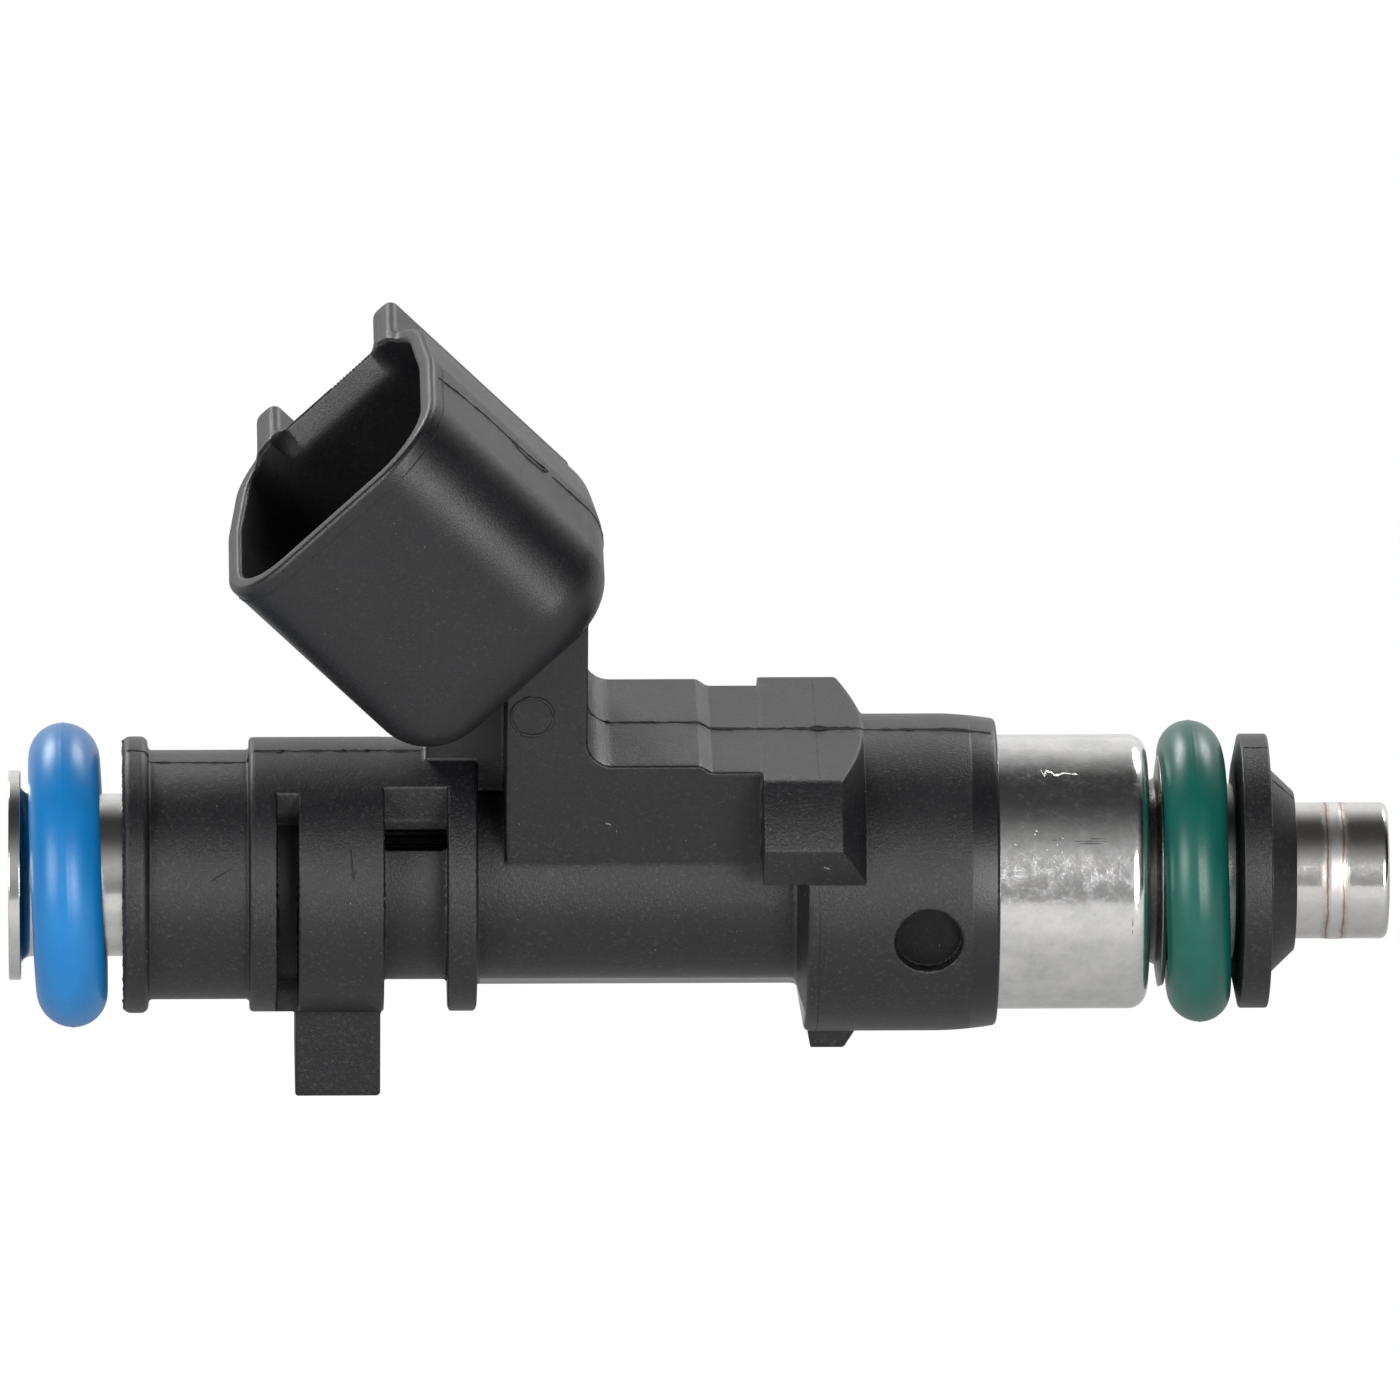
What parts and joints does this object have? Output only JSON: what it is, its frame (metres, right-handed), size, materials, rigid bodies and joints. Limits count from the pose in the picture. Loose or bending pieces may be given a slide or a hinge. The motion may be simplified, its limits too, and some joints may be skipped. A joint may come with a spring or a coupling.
{
  "type": "fuel injector",
  "caption": "Electromagnetic port fuel injector with angled two-pin connector, O-ring seals at both ends and a spring-closed ball valve that lifts to spray fuel.",
  "frame": {"origin": "on the injector's axis, in the mid-plane of the lower (manifold) O-ring", "axes": "+X along the injector's axis towards the nozzle tip, +Y towards the side of the connector's latch rails, +Z towards the side the connector stands on"},
  "size_m": [0.0679, 0.0192, 0.0384],
  "materials": {
    "stainless": "polished stainless",
    "housing_steel": "scuffed satin",
    "core_steel": "turned",
    "seat_steel": "ground",
    "ball_steel": "lapped",
    "spring_steel": "drawn wire",
    "brass": "drawn",
    "filter_plastic": "moulded",
    "filter_cloth": "woven nylon",
    "bobbin_plastic": "moulded",
    "copper_wire": "enamelled copper wire",
    "tinned_terminal": "tin plated",
    "black_nylon": "satin glass-filled nylon",
    "blue_rubber": "satin",
    "green_rubber": "satin"
  },
  "bodies": {
    "housing": {"valve_sleeve": "stainless", "filter_collar": "brass", "filter_basket": "filter_plastic", "filter_mesh": "filter_cloth", "preload_sleeve": "stainless", "return_spring": "spring_steel", "pole_core": "core_steel", "valve_seat": "seat_steel", "orifice_plate": "stainless", "coil_bobbin": "bobbin_plastic", "coil_winding": "copper_wire", "magnet_housing": "housing_steel", "flux_washer": "core_steel", "overmold": "black_nylon", "terminal_upper": "tinned_terminal", "terminal_lower": "tinned_terminal", "rail_oring": "blue_rubber", "manifold_oring": "green_rubber", "oring_carrier": "stainless", "support_ring": "black_nylon"},
    "valve_group": {"armature": "core_steel", "needle_tube": "stainless", "valve_ball": "ball_steel"}
  },
  "joints": [
    {"name": "needle_lift", "type": "slide", "parent": "housing", "child": "valve_group", "axis": [-1, 0, 0], "range_m": [0, 0.00008], "stiffness_N_per_m": 1200, "deforming": ["return_spring"]}
  ]
}
